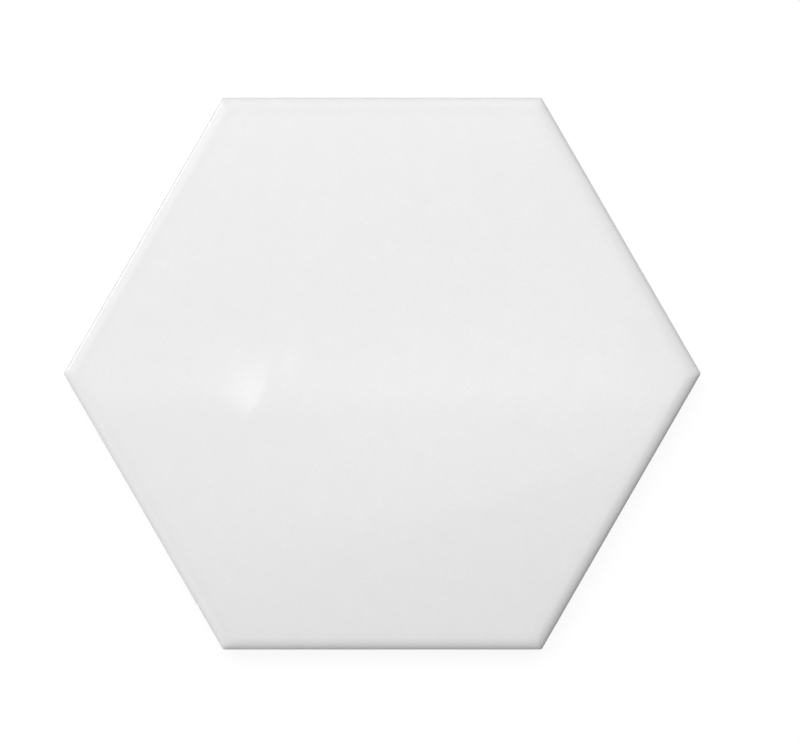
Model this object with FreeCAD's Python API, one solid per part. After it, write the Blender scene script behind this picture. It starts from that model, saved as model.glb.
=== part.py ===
import FreeCAD, Part

import math
import os

# Hexagon floor tile, dry-pressed and fired as one piece, with a gloss glaze on its face.
# Millimetres, +Z up. The origin is at the middle of the back, on the plane that the tile lies on.
# Two corners point along X, and two sides are square to Y.
# From the face down, the tile has a flat glazed face, a cushioned edge where pressed body and
# glaze roll over, an upright flank, a die line, a flank that tapers in towards the back, and a
# back with a honeycomb key that the adhesive grips.

# Outline and thickness
ACROSS_FLATS = 175.0
THICKNESS = 9.0
CORNER_RADIUS = 1.0

# Cushioned edge: a quarter ellipse from the flat face down to the upright flank
CUSHION_WIDTH = 4.0
CUSHION_DROP = 2.0
FACE_CORNER_RADIUS = 5.0
CUSHION_SECTIONS = 9

# Flank below the cushioned edge
DIE_LINE_HEIGHT = 3.6
BACK_SETBACK = 1.2
BACK_ARRIS = 0.4

# Honeycomb key pressed into the back, as rings of cells round one in the middle
KEY_RINGS = 4
KEY_DEPTH = 0.8
KEY_RIB_WIDTH = 2.4
KEY_DRAFT_DEG = 35.0
KEY_CORNER_RADIUS = 1.8
KEY_RIM_WIDTH = 6.0

# A hexagon's sides are square to directions 60 degrees apart, and its corners lie halfway between
SIDES = 6
TURN = 2.0 * math.pi / SIDES
HALF_TURN = TURN / 2.0
TIP_ALONG_X = 0.0
TIP_ALONG_Y = HALF_TURN


def polar(radius, angle, z):
    """The point at a radius and angle about the Z axis."""
    return FreeCAD.Vector(radius * math.cos(angle), radius * math.sin(angle), z)


def rounded_hexagon(apothem, corner_radius, z, first_tip=TIP_ALONG_X):
    """A level hexagon of lines and tangent arcs. The apothem is half its size across flats."""
    arc_centre_radius = (apothem - corner_radius) / math.cos(HALF_TURN)
    corners = []
    for side in range(SIDES):
        tip = first_tip + side * TURN
        centre = polar(arc_centre_radius, tip, z)
        start, middle, end = (
            centre + polar(corner_radius, tip + turn, 0.0) for turn in (-HALF_TURN, 0.0, HALF_TURN)
        )
        corners.append((start, middle, end))
    edges = []
    for corner, following in zip(corners, corners[1:] + corners[:1]):
        edges.append(Part.Arc(*corner).toShape())
        edges.append(Part.LineSegment(corner[2], following[0]).toShape())
    return Part.Wire(edges)


def tile_section(inset, z, corner_radius=CORNER_RADIUS):
    """The tile's outline at a height, moved in from its flank by an inset."""
    return rounded_hexagon(ACROSS_FLATS / 2.0 - inset, corner_radius, z)


def cushioned_edge():
    """The top of the tile: level sections lofted up a quarter ellipse to the flat face."""
    shoulder = THICKNESS - CUSHION_DROP
    sections = []
    for number in range(CUSHION_SECTIONS):
        climb = number / (CUSHION_SECTIONS - 1) * math.pi / 2.0
        share_in = 1.0 - math.cos(climb)
        corner_radius = CORNER_RADIUS + (FACE_CORNER_RADIUS - CORNER_RADIUS) * share_in
        height = shoulder + CUSHION_DROP * math.sin(climb)
        sections.append(tile_section(CUSHION_WIDTH * share_in, height, corner_radius))
    return Part.makeLoft(sections, True, False)


def upright_flank():
    """The full-size band from the die line up to the cushioned edge."""
    height = THICKNESS - CUSHION_DROP - DIE_LINE_HEIGHT
    outline = Part.Face(tile_section(0.0, DIE_LINE_HEIGHT))
    return outline.extrude(FreeCAD.Vector(0.0, 0.0, height))


def tapered_flank():
    """The band below the die line, drawn in to the back and broken by a small arris."""
    sections = [
        tile_section(BACK_SETBACK + BACK_ARRIS, 0.0),
        tile_section(BACK_SETBACK, BACK_ARRIS),
        tile_section(0.0, DIE_LINE_HEIGHT),
    ]
    return Part.makeLoft(sections, True, True)


def key_pitch():
    """The cells' spacing, with which the rings round the middle cell reach just up to the rim."""
    room = ACROSS_FLATS / 2.0 - BACK_SETBACK - BACK_ARRIS - KEY_RIM_WIDTH
    half_rib_at_a_tip = KEY_RIB_WIDTH / 2.0 / math.cos(HALF_TURN)
    pitches_in_the_room = KEY_RINGS * math.cos(HALF_TURN) + 0.5 / math.cos(HALF_TURN)
    return (room + half_rib_at_a_tip) / pitches_in_the_room


def key_cell():
    """One cell of the honeycomb, with drafted sides so that the punch leaves it cleanly."""
    mouth = (key_pitch() - KEY_RIB_WIDTH) / 2.0
    floor = mouth - KEY_DEPTH * math.tan(math.radians(KEY_DRAFT_DEG))
    sections = [
        rounded_hexagon(mouth, KEY_CORNER_RADIUS, 0.0, TIP_ALONG_Y),
        rounded_hexagon(floor, KEY_CORNER_RADIUS, KEY_DEPTH, TIP_ALONG_Y),
    ]
    return Part.makeLoft(sections, True, True)


def honeycomb_key():
    """Whole cells in hexagonal rings, on a lattice that runs along X and at 60 degrees to it."""
    along = polar(key_pitch(), 0.0, 0.0)
    across = polar(key_pitch(), TURN, 0.0)
    cell = key_cell()
    cells = []
    for row in range(-KEY_RINGS, KEY_RINGS + 1):
        for column in range(-KEY_RINGS, KEY_RINGS + 1):
            if abs(row + column) <= KEY_RINGS:
                cells.append(cell.translated(along * column + across * row))
    return Part.makeCompound(cells)


def hexagon_tile():
    """The whole tile as one solid."""
    body = tapered_flank().fuse([upright_flank(), cushioned_edge()]).removeSplitter()
    return body.cut(honeycomb_key())


def main():
    """Builds the tile and writes its file."""
    os.makedirs("parts", exist_ok=True)
    tile = hexagon_tile()
    solids = tile.Solids
    size = tile.optimalBoundingBox(False)
    print(
        f"hexagon_tile: {len(solids)} solid, {len(tile.Faces)} faces, valid {tile.isValid()}, "
        f"{size.XLength:.2f} x {size.YLength:.2f} x {size.ZLength:.2f} mm, "
        f"{tile.Volume / 1000.0:.1f} cm3, cells {key_pitch():.2f} mm apart"
    )
    solids[0].exportStep("parts/hexagon_tile.step")


main()
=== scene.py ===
import math
from collections import namedtuple

import bmesh
import bpy
from mathutils import Matrix, Vector, noise


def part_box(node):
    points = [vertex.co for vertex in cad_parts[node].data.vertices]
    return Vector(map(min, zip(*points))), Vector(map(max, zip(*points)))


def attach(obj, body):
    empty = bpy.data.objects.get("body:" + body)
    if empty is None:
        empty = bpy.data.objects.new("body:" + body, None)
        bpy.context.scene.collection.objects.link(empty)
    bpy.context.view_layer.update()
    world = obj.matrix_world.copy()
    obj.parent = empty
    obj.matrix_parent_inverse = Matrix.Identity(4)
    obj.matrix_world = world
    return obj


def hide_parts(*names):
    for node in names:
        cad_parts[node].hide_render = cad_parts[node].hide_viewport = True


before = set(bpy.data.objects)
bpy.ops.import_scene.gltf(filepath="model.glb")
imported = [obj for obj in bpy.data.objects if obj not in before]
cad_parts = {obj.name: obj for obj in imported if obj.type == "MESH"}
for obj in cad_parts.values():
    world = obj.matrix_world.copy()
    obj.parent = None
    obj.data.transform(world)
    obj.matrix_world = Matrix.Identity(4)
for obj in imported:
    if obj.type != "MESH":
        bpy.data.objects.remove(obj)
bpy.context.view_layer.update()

# Gloss white hexagon floor tile. It lies on its back on a white table, seen from straight above.
# Metres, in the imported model's frame: +Z up, two corners along X, the back on the table at z = 0.
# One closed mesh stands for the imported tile. It is a loft of level rings, like the pressing itself:
# the flat face, the cushioned edge, the glazed flank with its uneven lower margin, the bare flank
# with its die line, and the back with its honeycomb key.

MM = 0.001
TILE_LOW, TILE_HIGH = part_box("hexagon_tile")
ACROSS_FLATS = TILE_HIGH.y - TILE_LOW.y
FACE_HEIGHT = TILE_HIGH.z
BACK_HEIGHT = TILE_LOW.z

# A hexagon's corners are a sixth of a turn apart
SIDES = 6
TURN = math.tau / SIDES
HALF_TURN = TURN / 2.0
RIGHT_ANGLE = math.pi / 2.0

# Cushioned edge, a quarter ellipse from the flat face down to the shoulder
CUSHION_WIDTH = 4.0 * MM
CUSHION_DROP = 2.0 * MM
CUSHION_STEPS = 16
CORNER_RADIUS = 1.0 * MM
FACE_CORNER_RADIUS = 5.0 * MM
SHOULDER_HEIGHT = FACE_HEIGHT - CUSHION_DROP

# The glaze draws thin over the shoulder, within about this distance on the face side of it.
# The grey this gives the glaze there is partly the thin glaze and partly painted shade on the rounded
# edge.
THIN_GLAZE_AND_SHADE_REACH = 1.55 * MM

# Glazed flank: the glaze gathers again within a short drop below the shoulder, to all but a share
# of its thickness, and stops in a bead. The grey left by that share is partly painted shade.
# Its margin sways in waves of these heights and lengths.
GLAZE_COAT = 0.22 * MM
GLAZE_GATHERING = 0.5 * MM
FLANK_THIN_GLAZE_AND_SHADE = 0.2
GLAZE_MARGIN_HEIGHT = 4.9 * MM
MARGIN_SWAY = ((0.9 * MM, 26.0 * MM), (0.3 * MM, 6.5 * MM))
GLAZED_STEPS = 6
BEAD_STEPS = 4

# Bare flank: rings at some shares of the way down to the die line, the flash that the die leaves,
# a taper to the back, and an arris. A ring of the flash stands out and lies above the die line by
# so many times the flash's size.
BARE_BAND_SHARES = (0.2, 0.5, 0.8)
DIE_LINE_HEIGHT = 3.6 * MM
DIE_FLASH = 0.08 * MM
DIE_FLASH_RINGS = ((0.0, 1.6), (1.0, 0.4), (1.0, -0.4), (-0.4, -1.6))
BACK_SETBACK = 1.2 * MM
BACK_ARRIS = 0.4 * MM
TAPER_STEPS = 4
ARRIS_STEPS = 4

# Honeycomb key in the back, as rings of cells round one in the middle
KEY_RINGS = 4
KEY_DEPTH = 0.8 * MM
KEY_RIB_WIDTH = 2.4 * MM
KEY_DRAFT = math.radians(35.0)
KEY_CORNER_RADIUS = 1.8 * MM
KEY_RIM_WIDTH = 6.0 * MM
KEY_CREST_RADIUS = 0.25 * MM
KEY_FLOOR_RADIUS = 0.35 * MM
KEY_CREST_STEPS = 3
KEY_FLOOR_STEPS = 4

# The molten glaze settles almost level: heights and lengths of the ripples that stay
RIPPLES = ((0.025 * MM, 34.0 * MM), (0.004 * MM, 11.0 * MM))

# Mesh steps: round a corner, along a side with its corner, and round a cell's corner
CORNER_STEPS = 8
SIDE_STEPS = 72
KEY_CORNER_STEPS = 5

# The photograph's frame: its size in pixels, and where the tile lies in it
FRAME_WIDTH_PX = 800
FRAME_HEIGHT_PX = 742
TILE_CENTRE_PX = (382.3, 373.6)
ACROSS_FLATS_PX = 551.9
PIXEL = ACROSS_FLATS / ACROSS_FLATS_PX

# One level ring of the tile: how far it is moved in from the flank, its height, its corner radius,
# how much of the glaze margin's sway it takes, and how thin the glaze is there (0 full, 1 gone),
# which also sets how much painted shade greys the glaze there
Level = namedtuple("Level", "inset height corner_radius sway thinness")

# Numbers of the two finishes in the mesh
GLAZE, BISCUIT = 0, 1


def shares(steps):
    """Even steps from just above 0 up to 1."""
    return [step / steps for step in range(1, steps + 1)]


def between(start, end, share):
    """The value at a share of the way from start to end."""
    return start + (end - start) * share


def photo_point(x_px, y_px):
    """Where a pixel of the photograph lies on the tile."""
    x = (x_px - TILE_CENTRE_PX[0]) * PIXEL
    y = (TILE_CENTRE_PX[1] - y_px) * PIXEL
    return x, y


def rippled(x, y, ripples):
    """The sum of smooth ripples at a place, each given by its height and its length."""
    return sum(height * noise.noise(Vector((x, y, 0.0)) / length) for height, length in ripples)


# Outline rings

def rounded_hexagon(bm, apothem, corner_radius, corner_steps, centre, first_tip, filled=False):
    """A level hexagon with rounded corners, as a wire or a face. The apothem is half its size
    across flats. Returns the edges of its arcs and its six straight sides."""
    place = Matrix.Translation(centre) @ Matrix.Rotation(first_tip, 4, "Z")
    radius = apothem / math.cos(HALF_TURN)
    tips = bmesh.ops.create_circle(
        bm, cap_ends=filled, segments=SIDES, radius=radius, matrix=place
    )["verts"]
    rounded = bmesh.ops.bevel(
        bm, geom=tips, affect="VERTICES", offset_type="OFFSET",
        offset=corner_radius * math.tan(HALF_TURN), segments=corner_steps, profile=0.5, material=-1,
    )
    edges = list(dict.fromkeys(edge for vert in rounded["verts"] for edge in vert.link_edges))
    # The six longest edges are the sides
    edges.sort(key=lambda edge: edge.calc_length())
    return edges[:-SIDES], edges[-SIDES:]


def tile_ring(bm, level):
    """A ring of the tile's outline at one level. Two corners point along X."""
    apothem = ACROSS_FLATS / 2.0 - level.inset
    centre = Vector((0.0, 0.0, level.height))
    arcs, sides = rounded_hexagon(
        bm, apothem, level.corner_radius, CORNER_STEPS, centre, first_tip=HALF_TURN
    )
    cut = bmesh.ops.subdivide_edges(bm, edges=sides, cuts=SIDE_STEPS - CORNER_STEPS - 1)
    edges = arcs + [item for item in cut["geom_split"] if isinstance(item, bmesh.types.BMEdge)]
    verts = list(dict.fromkeys(vert for edge in edges for vert in edge.verts))
    for vert in verts:
        vert.co.z += level.sway * rippled(vert.co.x, vert.co.y, MARGIN_SWAY)
    return verts, edges


# Levels from the face down to the back

def cushion_levels():
    """The quarter ellipse from the flat face, out and down to the shoulder."""
    levels = []
    for share in [0.0] + shares(CUSHION_STEPS):
        turn = share * RIGHT_ANGLE
        out = math.sin(turn)
        inset = CUSHION_WIDTH * (1.0 - out)
        levels.append(
            Level(
                inset=inset,
                height=FACE_HEIGHT - CUSHION_DROP * (1.0 - math.cos(turn)),
                corner_radius=between(FACE_CORNER_RADIUS, CORNER_RADIUS, out),
                sway=0.0,
                thinness=math.exp(-inset / THIN_GLAZE_AND_SHADE_REACH),
            )
        )
    return levels


def glazed_flank_levels():
    """The glaze below the shoulder, and the bead that it ends in."""
    bead_top = GLAZE_MARGIN_HEIGHT + GLAZE_COAT
    levels = []
    for share in shares(GLAZED_STEPS):
        height = between(SHOULDER_HEIGHT, bead_top, share)
        thin_and_shaded_share = math.exp((height - SHOULDER_HEIGHT) / GLAZE_GATHERING)
        thinness = between(FLANK_THIN_GLAZE_AND_SHADE, 1.0, thin_and_shaded_share)
        levels.append(Level(0.0, height, CORNER_RADIUS, share, thinness))
    for share in shares(BEAD_STEPS):
        turn = share * RIGHT_ANGLE
        inset = GLAZE_COAT * (1.0 - math.cos(turn))
        height = bead_top - GLAZE_COAT * math.sin(turn)
        levels.append(Level(inset, height, CORNER_RADIUS, 1.0, FLANK_THIN_GLAZE_AND_SHADE))
    return levels


def bare_flank_levels():
    """The bare body: down to the die's flash, in to the arris, and round it to the back."""
    levels = []
    for share in BARE_BAND_SHARES:
        height = between(GLAZE_MARGIN_HEIGHT, DIE_LINE_HEIGHT, share)
        levels.append(Level(GLAZE_COAT, height, CORNER_RADIUS, 1.0 - share, 1.0))
    for proud, rise in DIE_FLASH_RINGS:
        inset = GLAZE_COAT - DIE_FLASH * proud
        height = DIE_LINE_HEIGHT + DIE_FLASH * rise
        levels.append(Level(inset, height, CORNER_RADIUS, 0.0, 1.0))
    die_line = levels[-1]
    for share in shares(TAPER_STEPS):
        inset = between(die_line.inset, GLAZE_COAT + BACK_SETBACK, share)
        height = between(die_line.height, BACK_HEIGHT + BACK_ARRIS, share)
        levels.append(Level(inset, height, CORNER_RADIUS, 0.0, 1.0))
    for share in shares(ARRIS_STEPS):
        turn = share * RIGHT_ANGLE
        inset = GLAZE_COAT + BACK_SETBACK + BACK_ARRIS * (1.0 - math.cos(turn))
        height = BACK_HEIGHT + BACK_ARRIS * (1.0 - math.sin(turn))
        levels.append(Level(inset, height, CORNER_RADIUS, 0.0, 1.0))
    return levels


# Parts of the mesh

def face_sheet(bm):
    """The flat of the glazed face as an even sheet of small triangles. Returns its border's edges.
    It is made above its height, because bridge_loops can't tell which way two loops in one plane
    run."""
    apothem = ACROSS_FLATS / 2.0 - CUSHION_WIDTH - FACE_CORNER_RADIUS / 2.0
    radius = apothem / math.cos(HALF_TURN)
    above = Matrix.Translation((0.0, 0.0, FACE_HEIGHT + MM)) @ Matrix.Rotation(HALF_TURN, 4, "Z")
    bmesh.ops.create_circle(
        bm, cap_ends=True, cap_tris=True, segments=SIDES, radius=radius, matrix=above
    )
    bmesh.ops.subdivide_edges(bm, edges=bm.edges[:], cuts=SIDE_STEPS - 1, use_grid_fill=True)
    return [edge for edge in bm.edges if edge.is_boundary]


def lofted(bm, border, levels, finish, thinness):
    """Bridges a border down through the rings of some levels. Returns the last ring's edges."""
    for level in levels:
        verts, edges = tile_ring(bm, level)
        for vert in verts:
            vert[thinness] = level.thinness
        for face in bmesh.ops.bridge_loops(bm, edges=border + edges)["faces"]:
            face.material_index = finish
        border = edges
    return border


def key_pitch():
    """The cells' spacing, with which the rings round the middle cell reach just up to the rim."""
    room = ACROSS_FLATS / 2.0 - BACK_SETBACK - BACK_ARRIS - KEY_RIM_WIDTH
    half_rib_at_a_tip = KEY_RIB_WIDTH / 2.0 / math.cos(HALF_TURN)
    pitches_in_the_room = KEY_RINGS * math.cos(HALF_TURN) + 0.5 / math.cos(HALF_TURN)
    return (room + half_rib_at_a_tip) / pitches_in_the_room


def key_centres():
    """The middles of the cells, in hexagonal rings."""
    along = Vector((key_pitch(), 0.0, 0.0))
    across = Matrix.Rotation(TURN, 3, "Z") @ along
    for row in range(-KEY_RINGS, KEY_RINGS + 1):
        for column in range(-KEY_RINGS, KEY_RINGS + 1):
            if abs(row + column) <= KEY_RINGS:
                yield along * column + across * row + Vector((0.0, 0.0, BACK_HEIGHT))


def soft_arc(radius, turn, steps):
    """Places along an arc that starts level and turns down, each by how far in and how far down."""
    return [
        (radius * math.sin(share * turn), radius * (1.0 - math.cos(share * turn)))
        for share in shares(steps)
    ]


def key_wall_steps():
    """Steps in and down a cell's side: its soft crest, the drafted wall and the rounded foot."""
    slope = RIGHT_ANGLE - KEY_DRAFT
    crest = soft_arc(KEY_CREST_RADIUS, slope, KEY_CREST_STEPS)
    foot = soft_arc(KEY_FLOOR_RADIUS, slope, KEY_FLOOR_STEPS)
    wall_drop = KEY_DEPTH - crest[-1][1] - foot[-1][1]
    wall_foot = Vector(crest[-1]) + Vector((wall_drop * math.tan(KEY_DRAFT), wall_drop))
    floor = wall_foot + Vector(foot[-1])
    places = [Vector((0.0, 0.0))] + [Vector(place) for place in crest] + [wall_foot]
    places += [floor - Vector(place) for place in reversed(foot[:-1])] + [floor]
    return [after - before for before, after in zip(places, places[1:])]


def honeycomb_back(bm, outline):
    """Closes the back between its outline and the cells' mouths, then sinks the cells."""
    crest_run = KEY_CREST_RADIUS * math.tan((RIGHT_ANGLE - KEY_DRAFT) / 2.0)
    mouth = (key_pitch() - KEY_RIB_WIDTH) / 2.0 + crest_run
    corner_radius = KEY_CORNER_RADIUS + crest_run
    mouths = []
    for centre in key_centres():
        arcs, sides = rounded_hexagon(
            bm, mouth, corner_radius, KEY_CORNER_STEPS, centre, first_tip=0.0, filled=True
        )
        mouths += arcs + sides
    cells = list(dict.fromkeys(face for edge in mouths for face in edge.link_faces))
    bmesh.ops.reverse_faces(bm, faces=cells)
    crest = bmesh.ops.triangle_fill(
        bm, use_beauty=True, edges=outline + mouths, normal=(0.0, 0.0, -1.0)
    )
    walls = []
    for step_in, step_down in key_wall_steps():
        walls += bmesh.ops.inset_individual(
            bm, faces=cells, thickness=step_in, depth=-step_down, use_even_offset=True
        )["faces"]
    crest_faces = [item for item in crest["geom"] if isinstance(item, bmesh.types.BMFace)]
    for face in cells + walls + crest_faces:
        face.material_index = BISCUIT


def tile_mesh():
    """The whole tile as one closed mesh."""
    bm = bmesh.new()
    thinness = bm.verts.layers.float.new("thinness")
    border = face_sheet(bm)
    border = lofted(bm, border, cushion_levels() + glazed_flank_levels(), GLAZE, thinness)
    outline = lofted(bm, border, bare_flank_levels(), BISCUIT, thinness)
    honeycomb_back(bm, outline)
    # The sheet comes down to its height, and the ripples fade out from the face to the shoulder.
    # They are lowered by their full height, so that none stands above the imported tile.
    ripple_room = sum(height for height, length in RIPPLES)
    for vert in bm.verts:
        vert.co.z = min(vert.co.z, FACE_HEIGHT)
        share = (vert.co.z - FACE_HEIGHT) / CUSHION_DROP + 1.0
        if share > 0.0:
            vert.co.z += share * (rippled(vert.co.x, vert.co.y, RIPPLES) - ripple_room)
    bmesh.ops.recalc_face_normals(bm, faces=bm.faces[:])
    for face in bm.faces:
        face.smooth = True
    mesh = bpy.data.meshes.new("glazed_hexagon_tile")
    bm.to_mesh(mesh)
    bm.free()
    return mesh


# Materials

# Colours, as linear shares of red, green and blue
GLAZE_WHITE = (0.863, 0.860, 0.863)
GLAZE_CLOUD = (0.878, 0.875, 0.877)
GLAZE_MOTTLE = (0.852, 0.851, 0.856)
GLAZE_GRAIN = (0.837, 0.836, 0.840)
# Grey of the glaze thinned over the shoulder: partly the thin glaze, partly painted shade on the edge
GLAZE_THIN_AND_SHADED = (0.605, 0.605, 0.598)
GLAZE_SPECK = (0.42, 0.38, 0.33)
BODY_CREAM = (0.60, 0.545, 0.47)
BODY_CLOUD = (0.68, 0.63, 0.56)
BODY_GRAIN = (0.50, 0.44, 0.37)
IRON_SPECK = (0.27, 0.19, 0.13)
KILN_WASH = (0.80, 0.78, 0.74)

GLAZE_IOR = 1.52


def new_material(name):
    """A node material. Returns it with its tree, its Principled shader and object coordinates."""
    material = bpy.data.materials.new(name)
    material.use_nodes = True
    tree = material.node_tree
    shader = tree.nodes["Principled BSDF"]
    coordinates = tree.nodes.new("ShaderNodeTexCoord").outputs["Object"]
    return material, tree, shader, coordinates


def noise_field(tree, coordinates, size, detail, roughness=0.5):
    """Smooth noise from about 0 to 1 with features of a size in metres."""
    field = tree.nodes.new("ShaderNodeTexNoise")
    field.inputs["Scale"].default_value = 1.0 / size
    field.inputs["Detail"].default_value = detail
    field.inputs["Roughness"].default_value = roughness
    tree.links.new(coordinates, field.inputs["Vector"])
    return field.outputs["Fac"]


def mapped(tree, value, from_range, to_range):
    """A value spread smoothly from one range to another, and kept inside it."""
    spread = tree.nodes.new("ShaderNodeMapRange")
    spread.interpolation_type = "SMOOTHSTEP"
    for side, limits in (("From", from_range), ("To", to_range)):
        spread.inputs[side + " Min"].default_value = limits[0]
        spread.inputs[side + " Max"].default_value = limits[1]
    tree.links.new(value, spread.inputs["Value"])
    return spread.outputs["Result"]


def mixed(tree, share, first, second):
    """A colour between two, each a colour of its own or another node's output."""
    mix = tree.nodes.new("ShaderNodeMix")
    mix.data_type = "RGBA"
    tree.links.new(share, mix.inputs["Factor"])
    for socket, colour in ((mix.inputs["A"], first), (mix.inputs["B"], second)):
        if isinstance(colour, bpy.types.NodeSocket):
            tree.links.new(colour, socket)
        else:
            socket.default_value = (*colour, 1.0)
    return mix.outputs["Result"]


def combined(tree, operation, first, second):
    """Two values put together, as by MULTIPLY or MAXIMUM."""
    both = tree.nodes.new("ShaderNodeMath")
    both.operation = operation
    tree.links.new(first, both.inputs[0])
    tree.links.new(second, both.inputs[1])
    return both.outputs["Value"]


def bumped(tree, height, depth, under=None):
    """A bump of a depth in metres, laid over another one."""
    bump = tree.nodes.new("ShaderNodeBump")
    bump.inputs["Distance"].default_value = depth
    tree.links.new(height, bump.inputs["Height"])
    if under is not None:
        tree.links.new(under, bump.inputs["Normal"])
    return bump.outputs["Normal"]


def height_of(tree, coordinates):
    """The height above the back."""
    split = tree.nodes.new("ShaderNodeSeparateXYZ")
    tree.links.new(coordinates, split.inputs["Vector"])
    return split.outputs["Z"]


def speckle(tree, coordinates, spacing, radius):
    """1 in sparse round specks of a radius, one to each cell of a spacing, and 0 elsewhere."""
    cells = tree.nodes.new("ShaderNodeTexVoronoi")
    cells.inputs["Scale"].default_value = 1.0 / spacing
    tree.links.new(coordinates, cells.inputs["Vector"])
    reach = radius / spacing
    return mapped(tree, cells.outputs["Distance"], (0.5 * reach, reach), (1.0, 0.0))


def gloss_white_glaze():
    """Opaque white glaze, faintly mottled and grained, greyer where it thins over the shoulder.
    The grey there is partly the thin glaze and partly painted shade on the rounded edge.
    """
    material, tree, shader, coordinates = new_material("gloss_white_glaze")

    cloud = noise_field(tree, coordinates, size=45.0 * MM, detail=3.0)
    mottle = noise_field(tree, coordinates, size=7.0 * MM, detail=3.0)
    colour = mixed(tree, cloud, GLAZE_WHITE, GLAZE_CLOUD)
    colour = mixed(tree, mapped(tree, mottle, (0.3, 0.7), (0.0, 0.9)), colour, GLAZE_MOTTLE)
    grain = noise_field(tree, coordinates, size=0.55 * MM, detail=2.0)
    colour = mixed(tree, mapped(tree, grain, (0.35, 0.65), (0.0, 0.8)), colour, GLAZE_GRAIN)
    # The thin glaze over the shoulder and flank greys the colour: partly real, partly painted shade
    thinness = tree.nodes.new("ShaderNodeAttribute")
    thinness.attribute_name = "thinness"
    colour = mixed(tree, thinness.outputs["Fac"], colour, GLAZE_THIN_AND_SHADED)
    specks = speckle(tree, coordinates, spacing=17.0 * MM, radius=0.16 * MM)
    patches = noise_field(tree, coordinates, size=21.0 * MM, detail=0.0)
    chosen = mapped(tree, patches, (0.62, 0.66), (0.0, 0.5))
    colour = mixed(tree, combined(tree, "MULTIPLY", specks, chosen), colour, GLAZE_SPECK)
    tree.links.new(colour, shader.inputs["Base Color"])

    haze = noise_field(tree, coordinates, size=30.0 * MM, detail=4.0)
    roughness = mapped(tree, haze, (0.3, 0.7), (0.018, 0.03))
    tree.links.new(roughness, shader.inputs["Roughness"])
    shader.inputs["IOR"].default_value = GLAZE_IOR

    orange_peel = noise_field(tree, coordinates, size=1.8 * MM, detail=1.0)
    normal = bumped(tree, orange_peel, 0.004 * MM)
    normal = bumped(tree, specks, 0.004 * MM, normal)
    tree.links.new(normal, shader.inputs["Normal"])
    return material


def pressed_biscuit():
    """Bare fired body: warm off-white, grainy and matt, with a chalky kiln wash on its crests."""
    material, tree, shader, coordinates = new_material("pressed_biscuit")

    grain = noise_field(tree, coordinates, size=0.45 * MM, detail=3.0, roughness=0.7)
    cloud = noise_field(tree, coordinates, size=24.0 * MM, detail=4.0, roughness=0.6)
    colour = mixed(tree, mapped(tree, cloud, (0.3, 0.7), (0.0, 1.0)), BODY_CREAM, BODY_CLOUD)
    colour = mixed(tree, mapped(tree, grain, (0.35, 0.75), (0.0, 0.35)), colour, BODY_GRAIN)
    specks = speckle(tree, coordinates, spacing=2.6 * MM, radius=0.2 * MM)
    patches = noise_field(tree, coordinates, size=3.1 * MM, detail=0.0)
    chosen = mapped(tree, patches, (0.55, 0.62), (0.0, 0.8))
    colour = mixed(tree, combined(tree, "MULTIPLY", specks, chosen), colour, IRON_SPECK)
    wear = noise_field(tree, coordinates, size=7.0 * MM, detail=5.0, roughness=0.65)
    on_crests = mapped(tree, height_of(tree, coordinates), (0.05 * MM, 0.35 * MM), (1.0, 0.0))
    unworn = mapped(tree, wear, (0.36, 0.6), (0.0, 0.85))
    colour = mixed(tree, combined(tree, "MULTIPLY", on_crests, unworn), colour, KILN_WASH)
    tree.links.new(colour, shader.inputs["Base Color"])

    roughness = mapped(tree, grain, (0.3, 0.7), (0.82, 0.95))
    tree.links.new(roughness, shader.inputs["Roughness"])
    tree.links.new(bumped(tree, grain, 0.06 * MM), shader.inputs["Normal"])
    return material


# The tile

def glazed_hexagon_tile():
    """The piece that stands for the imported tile."""
    tile = bpy.data.objects.new("glazed_hexagon_tile", tile_mesh())
    bpy.context.scene.collection.objects.link(tile)
    tile.data.materials.append(gloss_white_glaze())
    tile.data.materials.append(pressed_biscuit())
    normals = tile.modifiers.new("even_shading", "WEIGHTED_NORMAL")
    normals.keep_sharp = True
    return tile


# Studio: table, world, lamps and camera

TABLE_SIZE = 8.0
TABLE_GAP = 0.02 * MM
TABLE_COLOUR = (0.14, 0.14, 0.14)
TABLE_GLOW = 0.90
WORLD_LIGHT = 0.14
WORLD_TINT = (0.965, 0.98, 1.0)

# Focal length and sensor of the camera, in millimetres
LENS = 100.0
SENSOR_WIDTH = 36.0

# What the low lamps point at
ORIGIN = (0.0, 0.0, 0.0)


def for_visible_rays(tree, plain, shown):
    """The plain shader for lighting, and the shown one for camera, glossy and transmission rays."""
    path = tree.nodes.new("ShaderNodeLightPath")
    seen = path.outputs["Is Camera Ray"]
    for ray in ("Is Glossy Ray", "Is Transmission Ray"):
        seen = combined(tree, "MAXIMUM", seen, path.outputs[ray])
    choice = tree.nodes.new("ShaderNodeMixShader")
    tree.links.new(seen, choice.inputs["Fac"])
    tree.links.new(plain, choice.inputs[1])
    tree.links.new(shown, choice.inputs[2])
    return choice.outputs["Shader"]


def white_table():
    """A plain white surface just under the tile, which keeps a faint shadow."""
    bm = bmesh.new()
    bmesh.ops.create_grid(bm, x_segments=1, y_segments=1, size=TABLE_SIZE / 2.0)
    mesh = bpy.data.meshes.new("white_table")
    bm.to_mesh(mesh)
    bm.free()
    table = bpy.data.objects.new("white_table", mesh)
    bpy.context.scene.collection.objects.link(table)
    table.location.z = BACK_HEIGHT - TABLE_GAP
    material = bpy.data.materials.new("white_paper")
    material.use_nodes = True
    tree = material.node_tree
    tree.nodes.clear()
    paper = tree.nodes.new("ShaderNodeBsdfDiffuse")
    paper.inputs["Color"].default_value = (*TABLE_COLOUR, 1.0)
    white = tree.nodes.new("ShaderNodeEmission")
    white.inputs["Strength"].default_value = TABLE_GLOW
    both = tree.nodes.new("ShaderNodeAddShader")
    tree.links.new(paper.outputs["BSDF"], both.inputs[0])
    tree.links.new(white.outputs["Emission"], both.inputs[1])
    output = tree.nodes.new("ShaderNodeOutputMaterial")
    look = for_visible_rays(tree, paper.outputs["BSDF"], both.outputs["Shader"])
    tree.links.new(look, output.inputs["Surface"])
    mesh.materials.append(material)


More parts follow.
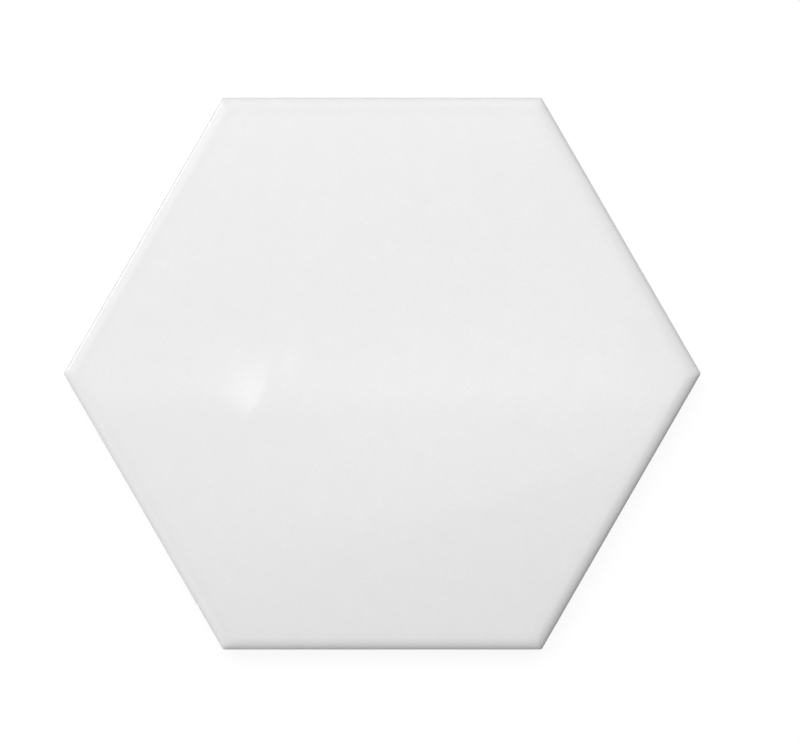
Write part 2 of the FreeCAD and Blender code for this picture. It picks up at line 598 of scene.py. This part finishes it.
def pale_world():
    """Even light from all round, grey and faintly cool, shown as white."""
    world = bpy.data.worlds.new("pale_world")
    world.use_nodes = True
    bpy.context.scene.world = world
    tree = world.node_tree
    plain = tree.nodes["Background"]
    plain.inputs["Color"].default_value = (*WORLD_TINT, 1.0)
    plain.inputs["Strength"].default_value = WORLD_LIGHT
    shown = tree.nodes.new("ShaderNodeBackground")
    shown.inputs["Color"].default_value = (1.0, 1.0, 1.0, 1.0)
    shown.inputs["Strength"].default_value = 1.0
    look = for_visible_rays(tree, plain.outputs["Background"], shown.outputs["Background"])
    tree.links.new(look, tree.nodes["World Output"].inputs["Surface"])


def softbox(name, middle, size, watts, aim=None, turn=0.0, mirrored=True, lighting=True):
    """A rectangular soft lamp. It faces straight down, turned about the vertical, unless aimed at
    a place. A lamp can be left out of the gloss (not mirrored), or be seen in the gloss alone (not
    lighting)."""
    lamp = bpy.data.lights.new(name, "AREA")
    lamp.shape = "RECTANGLE"
    lamp.size, lamp.size_y = size
    lamp.energy = watts
    holder = bpy.data.objects.new(name, lamp)
    bpy.context.scene.collection.objects.link(holder)
    holder.location = middle
    holder.visible_glossy = mirrored
    holder.visible_diffuse = lighting
    holder.rotation_euler.z = turn
    if aim is not None:
        holder.rotation_mode = "QUATERNION"
        holder.rotation_quaternion = (Vector(aim) - Vector(middle)).to_track_quat("-Z", "Y")
    return lamp


def faded(lamp, spot, reach):
    """Leaves a lamp brightest at a spot, and fades it out at a reach from there, both as shares of
    its sides."""
    lamp.use_nodes = True
    tree = lamp.node_tree
    place = tree.nodes.new("ShaderNodeNewGeometry").outputs["Parametric"]
    from_spot = tree.nodes.new("ShaderNodeMapping")
    from_spot.inputs["Location"].default_value = (-spot[0] / reach[0], -spot[1] / reach[1], 0.0)
    from_spot.inputs["Scale"].default_value = (1.0 / reach[0], 1.0 / reach[1], 0.0)
    tree.links.new(place, from_spot.inputs["Vector"])
    distance = tree.nodes.new("ShaderNodeVectorMath")
    distance.operation = "LENGTH"
    tree.links.new(from_spot.outputs["Vector"], distance.inputs[0])
    fade = mapped(tree, distance.outputs["Value"], (0.0, 1.0), (1.0, 0.0))
    tree.links.new(fade, tree.nodes["Emission"].inputs["Strength"])


def camera_place():
    """Straight above the middle of the photograph, as high as the lens needs to frame it at the
    shoulder."""
    x, y = photo_point(FRAME_WIDTH_PX / 2.0, FRAME_HEIGHT_PX / 2.0)
    return Vector((x, y, SHOULDER_HEIGHT + FRAME_WIDTH_PX * PIXEL * LENS / SENSOR_WIDTH))


def reflection(name, height, radiance, spot_px, reach_px, turn_deg=0.0):
    """A lamp that only shows as a soft reflection in the gloss. The reflection is brightest at a
    spot in the photograph, and fades out to its left and upwards. It reaches left, right, down and
    up from the spot, in pixels along its turned sides. Each lamp has a height of its own: at one
    height they hide each other."""
    camera = camera_place()
    # The camera sees the lamp by way of the face, so the lamp is larger than its reflection
    spread = 1.0 + (height - FACE_HEIGHT) / (camera.z - FACE_HEIGHT)
    x, y = photo_point(*spot_px)
    spot = Vector((between(camera.x, x, spread), between(camera.y, y, spread), height))
    left, right, down, up = (reach * PIXEL * spread for reach in reach_px)
    width = left + right
    length = down + up
    turn = math.radians(turn_deg)
    to_middle = Vector(((right - left) / 2.0, (up - down) / 2.0, 0.0))
    middle = spot + Matrix.Rotation(turn, 3, "Z") @ to_middle
    watts = radiance * math.pi * width * length
    lamp = softbox(name, middle, (width, length), watts, turn=turn, lighting=False)
    faded(lamp, (left / width, down / length), (left / width, up / length))


def camera_above():
    """A long lens straight above, with the tile where the photograph has it."""
    lens = bpy.data.cameras.new("camera")
    lens.lens = LENS
    lens.sensor_width = SENSOR_WIDTH
    camera = bpy.data.objects.new("camera", lens)
    bpy.context.scene.collection.objects.link(camera)
    camera.location = camera_place()
    bpy.context.scene.camera = camera


tile = glazed_hexagon_tile()
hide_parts("hexagon_tile")
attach(tile, "root")

white_table()
pale_world()
camera_above()
bpy.context.scene.view_settings.view_transform = "Standard"

# Lamps that light the tile. The gloss mirrors only the overhead one, whose edge crosses the face.
softbox("overhead_softbox", middle=(0.0, 1.1, 1.03), size=(4.0, 2.242), watts=10.8)
softbox("ceiling_light", middle=(-0.45, 1.45, 1.2), size=(3.0, 2.3), watts=49.0, mirrored=False)
softbox(
    "side_light", middle=(-1.376, 0.763, 0.29), size=(0.7, 0.5), watts=1.1,
    aim=ORIGIN, mirrored=False,
)
softbox(
    "low_fill", middle=(-1.38, -0.797, 0.12), size=(0.3, 0.2), watts=14.5,
    aim=ORIGIN, mirrored=False,
)

# Low lamps that only the gloss mirrors, in the cushioned edge on the upper left. The side wall
# stands upright and fades out towards its top and bottom.
side_wall = softbox(
    "side_wall", middle=(-1.2, 0.69, 0.26), size=(1.3, 0.5), watts=17.0,
    aim=(0.0, 0.0, 0.26), lighting=False,
)
faded(side_wall, spot=(0.5, 0.55), reach=(1.0, 0.45))
softbox(
    "side_strip", middle=(-1.40, 0.776, 0.07), size=(1.2, 0.13), watts=1.5,
    aim=ORIGIN, lighting=False,
)

# Reflections in the face: the sheen across its middle, and the small glint on the left of it
reflection(
    "broad_sheen", height=1.07, radiance=0.66,
    spot_px=(350, 440), reach_px=(650, 650, 260, 260), turn_deg=8.0,
)
reflection(
    "bright_sheen", height=1.06, radiance=0.45,
    spot_px=(520, 420), reach_px=(420, 132, 68, 210), turn_deg=15.0,
)
reflection(
    "sheen_edge", height=1.05, radiance=0.25,
    spot_px=(520, 412), reach_px=(900, 400, 1, 110),
)
reflection(
    "glint_haze", height=1.02, radiance=0.6,
    spot_px=(255, 391), reach_px=(100, 8, 24, 54), turn_deg=-28.0,
)
reflection(
    "glint", height=1.0, radiance=1.15,
    spot_px=(256, 399), reach_px=(42, 5, 18, 50), turn_deg=-28.0,
)
reflection(
    "second_glint", height=0.98, radiance=1.3,
    spot_px=(294, 366), reach_px=(14, 5, 12, 18), turn_deg=-28.0,
)
